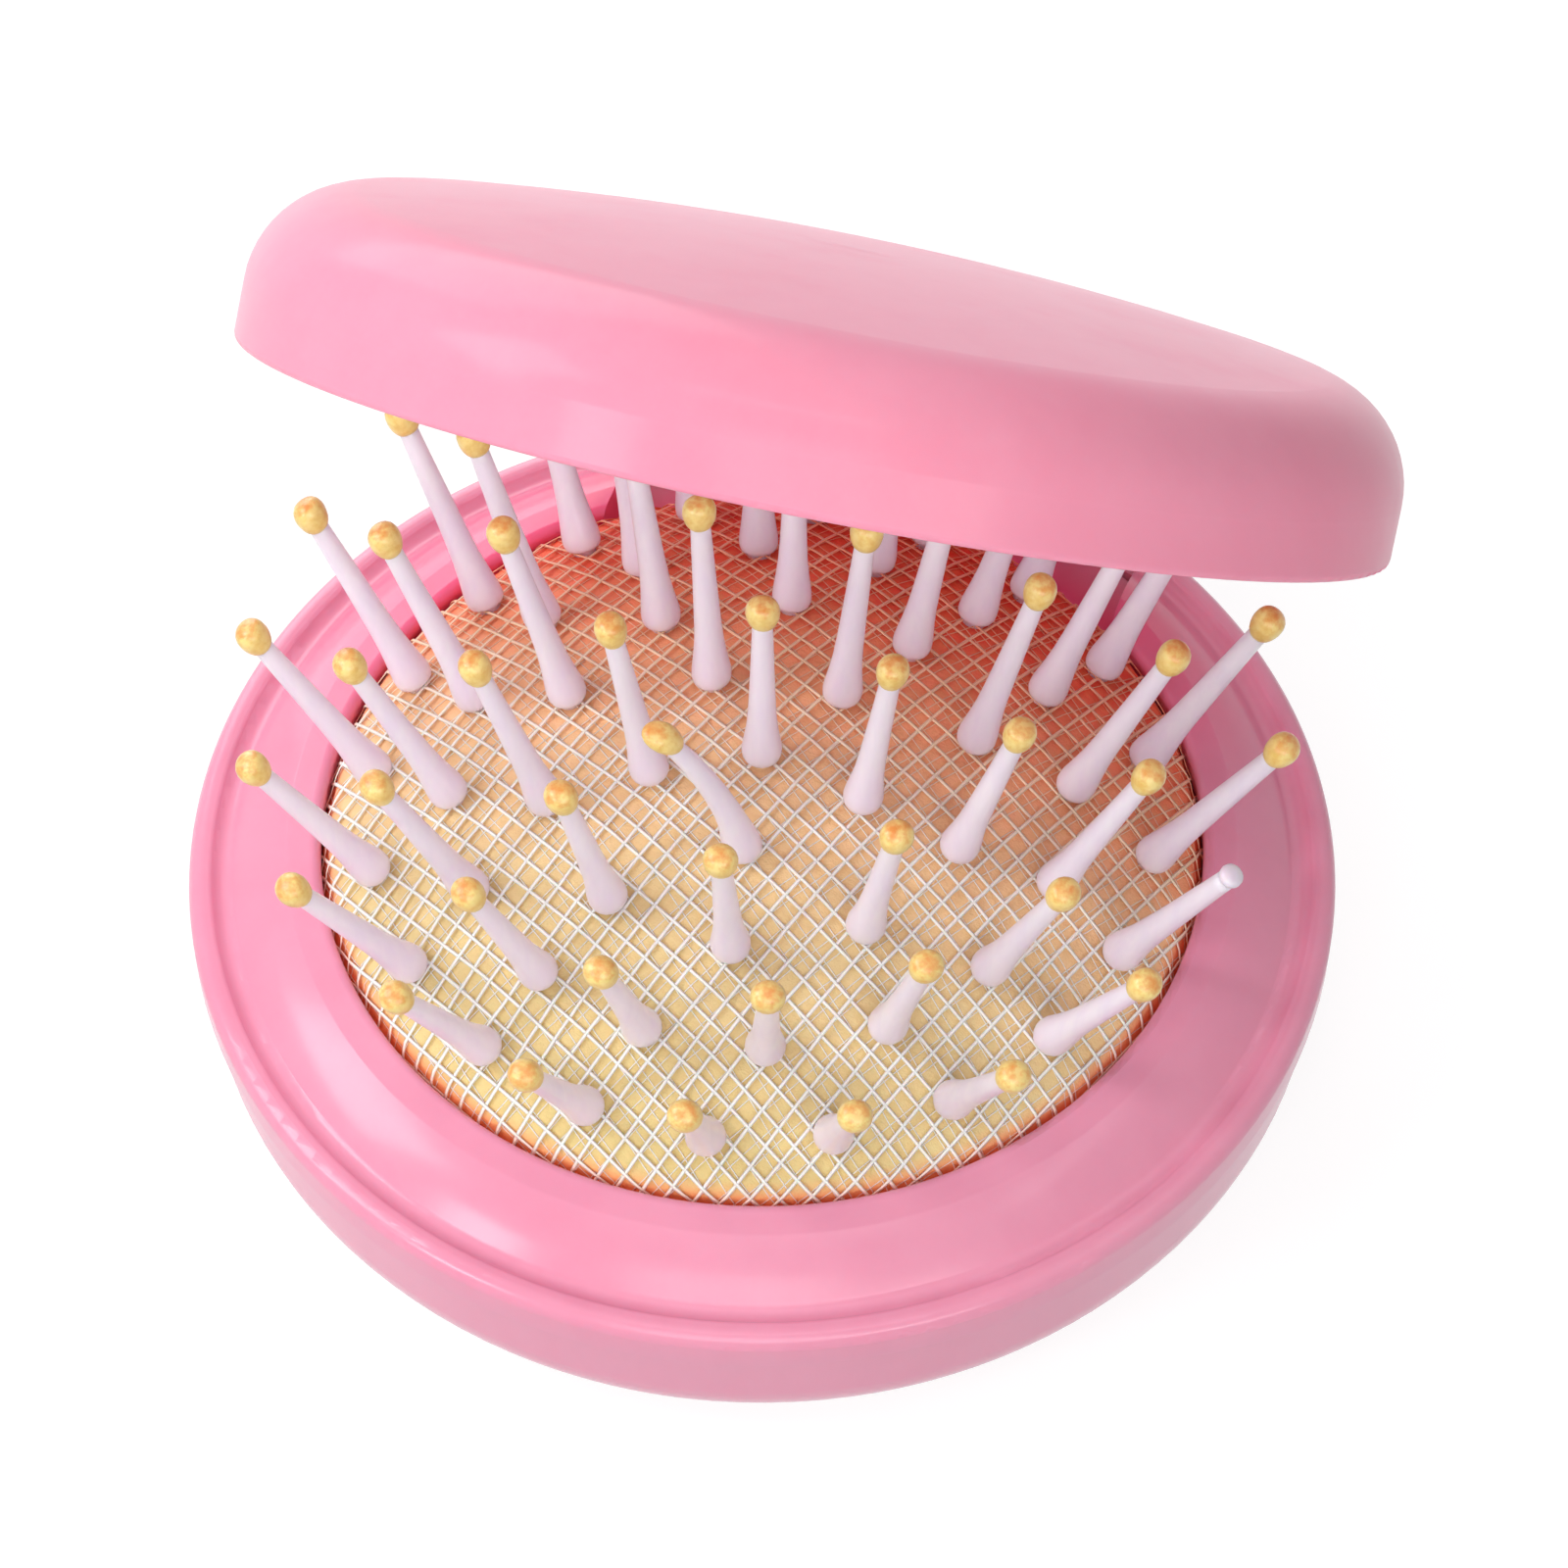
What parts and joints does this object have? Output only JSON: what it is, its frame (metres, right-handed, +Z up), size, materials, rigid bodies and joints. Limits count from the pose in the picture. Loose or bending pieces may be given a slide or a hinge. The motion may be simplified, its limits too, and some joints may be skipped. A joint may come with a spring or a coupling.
{
  "type": "folding hairbrush with mirror",
  "caption": "Round compact hairbrush: a hinged lid with a mirror inside opens over a domed rubber cushion set with bead-tipped pins, which folds flat as the lid shuts.",
  "frame": {"origin": "middle of the bottom face, on the ground", "axes": "+Z up through the cushion, hinge at +Y, front edge of base and lid at -Y, hinge line along X"},
  "size_m": [0.081, 0.0865, 0.077],
  "materials": {
    "case_pink": "glossy pink, polished moulding",
    "mirror_frame_pink": "semi-gloss pink",
    "clamp_plastic": "natural white, matt",
    "pin_lilac": "milky lilac-white, soft gloss",
    "bead_yellow": "yellow-orange, soft gloss",
    "cushion_rubber": "matt orange rubber",
    "net_fabric": "open cream mesh",
    "mirror_silver": "silvered glass",
    "tape_white": "white double-sided foam tape",
    "hinge_steel": "drawn steel wire"
  },
  "bodies": {
    "base": {"base_tray": "case_pink", "bezel_ring": "case_pink", "clamp_ring": "clamp_plastic", "cushion": "cushion_rubber", "cushion_net": "net_fabric"},
    "hinge_pin": {"hinge_pin": "hinge_steel"},
    "lid": {"lid_shell": "case_pink", "mirror_frame": "mirror_frame_pink", "mirror_glass": "mirror_silver", "mirror_tape": "tape_white"},
    "group_centre": {"pins_centre": "pin_lilac", "beads_centre": "bead_yellow"},
    "group_inner_1": {"pins_inner_1": "pin_lilac", "beads_inner_1": "bead_yellow"},
    "group_inner_2": {"pins_inner_2": "pin_lilac", "beads_inner_2": "bead_yellow"},
    "group_inner_3": {"pins_inner_3": "pin_lilac", "beads_inner_3": "bead_yellow"},
    "group_inner_4": {"pins_inner_4": "pin_lilac", "beads_inner_4": "bead_yellow"},
    "group_inner_5": {"pins_inner_5": "pin_lilac", "beads_inner_5": "bead_yellow"},
    "group_middle_1": {"pins_middle_1": "pin_lilac", "beads_middle_1": "bead_yellow"},
    "group_middle_2": {"pins_middle_2": "pin_lilac", "beads_middle_2": "bead_yellow"},
    "group_middle_3": {"pins_middle_3": "pin_lilac", "beads_middle_3": "bead_yellow"},
    "group_middle_4": {"pins_middle_4": "pin_lilac", "beads_middle_4": "bead_yellow"},
    "group_middle_5": {"pins_middle_5": "pin_lilac", "beads_middle_5": "bead_yellow"},
    "group_middle_6": {"pins_middle_6": "pin_lilac", "beads_middle_6": "bead_yellow"},
    "group_middle_7": {"pins_middle_7": "pin_lilac", "beads_middle_7": "bead_yellow"},
    "group_middle_8": {"pins_middle_8": "pin_lilac", "beads_middle_8": "bead_yellow"},
    "group_outer_1": {"pins_outer_1": "pin_lilac", "beads_outer_1": "bead_yellow"},
    "group_outer_2": {"pins_outer_2": "pin_lilac", "beads_outer_2": "bead_yellow"},
    "group_outer_3": {"pins_outer_3": "pin_lilac", "beads_outer_3": "bead_yellow"},
    "group_outer_4": {"pins_outer_4": "pin_lilac", "beads_outer_4": "bead_yellow"},
    "group_outer_5": {"pins_outer_5": "pin_lilac", "beads_outer_5": "bead_yellow"},
    "group_outer_6": {"pins_outer_6": "pin_lilac", "beads_outer_6": "bead_yellow"},
    "group_outer_7": {"pins_outer_7": "pin_lilac", "beads_outer_7": "bead_yellow"},
    "group_outer_8": {"pins_outer_8": "pin_lilac", "beads_outer_8": "bead_yellow"},
    "group_outer_9": {"pins_outer_9": "pin_lilac", "beads_outer_9": "bead_yellow"},
    "group_outer_10": {"pins_outer_10": "pin_lilac", "beads_outer_10": "bead_yellow"}
  },
  "joints": [
    {"name": "lid_close", "type": "hinge", "parent": "base", "child": "hinge_pin", "pos_m": [0, 0.043, 0.01315], "axis": [-1, 0, 0], "range_deg": [-44.99, 0]},
    {"name": "lid_open", "type": "hinge", "parent": "hinge_pin", "child": "lid", "pos_m": [0, 0.043, 0.01315], "axis": [-1, 0, 0], "range_deg": [0, 135]},
    {"name": "press_centre", "type": "slide", "parent": "base", "child": "group_centre", "axis": [0, 0, 1], "range_m": [-0.0212, 0], "deforming": ["cushion", "cushion_net"]},
    {"name": "press_inner_1", "type": "hinge", "parent": "base", "child": "group_inner_1", "pos_m": [0.03777, -0.07779, 0.01266], "axis": [0.8996, 0.4368, 0], "range_deg": [-15.61, 0]},
    {"name": "press_inner_2", "type": "hinge", "parent": "base", "child": "group_inner_2", "pos_m": [0.08565, 0.01189, 0.01266], "axis": [-0.1374, 0.9905, 0], "range_deg": [-15.61, 0]},
    {"name": "press_inner_3", "type": "hinge", "parent": "base", "child": "group_inner_3", "pos_m": [0.01516, 0.08514, 0.01266], "axis": [-0.9845, 0.1754, 0], "range_deg": [-15.61, 0]},
    {"name": "press_inner_4", "type": "hinge", "parent": "base", "child": "group_inner_4", "pos_m": [-0.07628, 0.04073, 0.01266], "axis": [-0.471, -0.8821, 0], "range_deg": [-15.61, 0]},
    {"name": "press_inner_5", "type": "hinge", "parent": "base", "child": "group_inner_5", "pos_m": [-0.06231, -0.05996, 0.01266], "axis": [0.6934, -0.7206, 0], "range_deg": [-15.61, 0]},
    {"name": "press_middle_1", "type": "hinge", "parent": "base", "child": "group_middle_1", "pos_m": [0.03016, -0.05708, 0.01152], "axis": [0.8842, 0.4672, 0], "range_deg": [-22.78, 0]},
    {"name": "press_middle_2", "type": "hinge", "parent": "base", "child": "group_middle_2", "pos_m": [0.06169, -0.01904, 0.01152], "axis": [0.2949, 0.9555, 0], "range_deg": [-22.78, 0]},
    {"name": "press_middle_3", "type": "hinge", "parent": "base", "child": "group_middle_3", "pos_m": [0.05708, 0.03016, 0.01152], "axis": [-0.4672, 0.8842, 0], "range_deg": [-22.78, 0]},
    {"name": "press_middle_4", "type": "hinge", "parent": "base", "child": "group_middle_4", "pos_m": [0.01904, 0.06169, 0.01152], "axis": [-0.9555, 0.2949, 0], "range_deg": [-22.78, 0]},
    {"name": "press_middle_5", "type": "hinge", "parent": "base", "child": "group_middle_5", "pos_m": [-0.03016, 0.05708, 0.01152], "axis": [-0.8842, -0.4672, 0], "range_deg": [-22.78, 0]},
    {"name": "press_middle_6", "type": "hinge", "parent": "base", "child": "group_middle_6", "pos_m": [-0.06169, 0.01904, 0.01152], "axis": [-0.2949, -0.9555, 0], "range_deg": [-22.78, 0]},
    {"name": "press_middle_7", "type": "hinge", "parent": "base", "child": "group_middle_7", "pos_m": [-0.05708, -0.03016, 0.01152], "axis": [0.4672, -0.8842, 0], "range_deg": [-22.78, 0]},
    {"name": "press_middle_8", "type": "hinge", "parent": "base", "child": "group_middle_8", "pos_m": [-0.01904, -0.06169, 0.01152], "axis": [0.9555, -0.2949, 0], "range_deg": [-22.78, 0]},
    {"name": "press_outer_1", "type": "hinge", "parent": "base", "child": "group_outer_1", "pos_m": [0.03168, -0.04507, 0.01014], "axis": [0.8181, 0.575, 0], "range_deg": [-29.26, 0]},
    {"name": "press_outer_2", "type": "hinge", "parent": "base", "child": "group_outer_2", "pos_m": [0.05212, -0.01784, 0.01014], "axis": [0.3239, 0.9461, 0], "range_deg": [-29.26, 0]},
    {"name": "press_outer_3", "type": "hinge", "parent": "base", "child": "group_outer_3", "pos_m": [0.05266, 0.0162, 0.01014], "axis": [-0.294, 0.9558, 0], "range_deg": [-29.26, 0]},
    {"name": "press_outer_4", "type": "hinge", "parent": "base", "child": "group_outer_4", "pos_m": [0.03308, 0.04406, 0.01014], "axis": [-0.7997, 0.6004, 0], "range_deg": [-29.26, 0]},
    {"name": "press_outer_5", "type": "hinge", "parent": "base", "child": "group_outer_5", "pos_m": [0.00086, 0.05509, 0.01014], "axis": [-0.9999, 0.0157, 0], "range_deg": [-29.26, 0]},
    {"name": "press_outer_6", "type": "hinge", "parent": "base", "child": "group_outer_6", "pos_m": [-0.03168, 0.04507, 0.01014], "axis": [-0.8181, -0.575, 0], "range_deg": [-29.26, 0]},
    {"name": "press_outer_7", "type": "hinge", "parent": "base", "child": "group_outer_7", "pos_m": [-0.05212, 0.01784, 0.01014], "axis": [-0.3239, -0.9461, 0], "range_deg": [-29.26, 0]},
    {"name": "press_outer_8", "type": "hinge", "parent": "base", "child": "group_outer_8", "pos_m": [-0.05266, -0.0162, 0.01014], "axis": [0.294, -0.9558, 0], "range_deg": [-29.26, 0]},
    {"name": "press_outer_9", "type": "hinge", "parent": "base", "child": "group_outer_9", "pos_m": [-0.03308, -0.04406, 0.01014], "axis": [0.7997, -0.6004, 0], "range_deg": [-29.26, 0]},
    {"name": "press_outer_10", "type": "hinge", "parent": "base", "child": "group_outer_10", "pos_m": [-0.00086, -0.05509, 0.01014], "axis": [0.9999, -0.0157, 0], "range_deg": [-29.26, 0]}
  ],
  "couplings": [
    {"joint": "lid_close", "follows": "press_centre", "rad_per_m": 37.038},
    {"joint": "press_inner_1", "follows": "press_centre", "rad_per_m": 12.834},
    {"joint": "press_inner_2", "follows": "press_centre", "rad_per_m": 12.834},
    {"joint": "press_inner_3", "follows": "press_centre", "rad_per_m": 12.834},
    {"joint": "press_inner_4", "follows": "press_centre", "rad_per_m": 12.834},
    {"joint": "press_inner_5", "follows": "press_centre", "rad_per_m": 12.834},
    {"joint": "press_middle_1", "follows": "press_centre", "rad_per_m": 18.741},
    {"joint": "press_middle_2", "follows": "press_centre", "rad_per_m": 18.741},
    {"joint": "press_middle_3", "follows": "press_centre", "rad_per_m": 18.741},
    {"joint": "press_middle_4", "follows": "press_centre", "rad_per_m": 18.741},
    {"joint": "press_middle_5", "follows": "press_centre", "rad_per_m": 18.741},
    {"joint": "press_middle_6", "follows": "press_centre", "rad_per_m": 18.741},
    {"joint": "press_middle_7", "follows": "press_centre", "rad_per_m": 18.741},
    {"joint": "press_middle_8", "follows": "press_centre", "rad_per_m": 18.741},
    {"joint": "press_outer_1", "follows": "press_centre", "rad_per_m": 24.07},
    {"joint": "press_outer_2", "follows": "press_centre", "rad_per_m": 24.07},
    {"joint": "press_outer_3", "follows": "press_centre", "rad_per_m": 24.07},
    {"joint": "press_outer_4", "follows": "press_centre", "rad_per_m": 24.07},
    {"joint": "press_outer_5", "follows": "press_centre", "rad_per_m": 24.07},
    {"joint": "press_outer_6", "follows": "press_centre", "rad_per_m": 24.07},
    {"joint": "press_outer_7", "follows": "press_centre", "rad_per_m": 24.07},
    {"joint": "press_outer_8", "follows": "press_centre", "rad_per_m": 24.07},
    {"joint": "press_outer_9", "follows": "press_centre", "rad_per_m": 24.07},
    {"joint": "press_outer_10", "follows": "press_centre", "rad_per_m": 24.07}
  ]
}
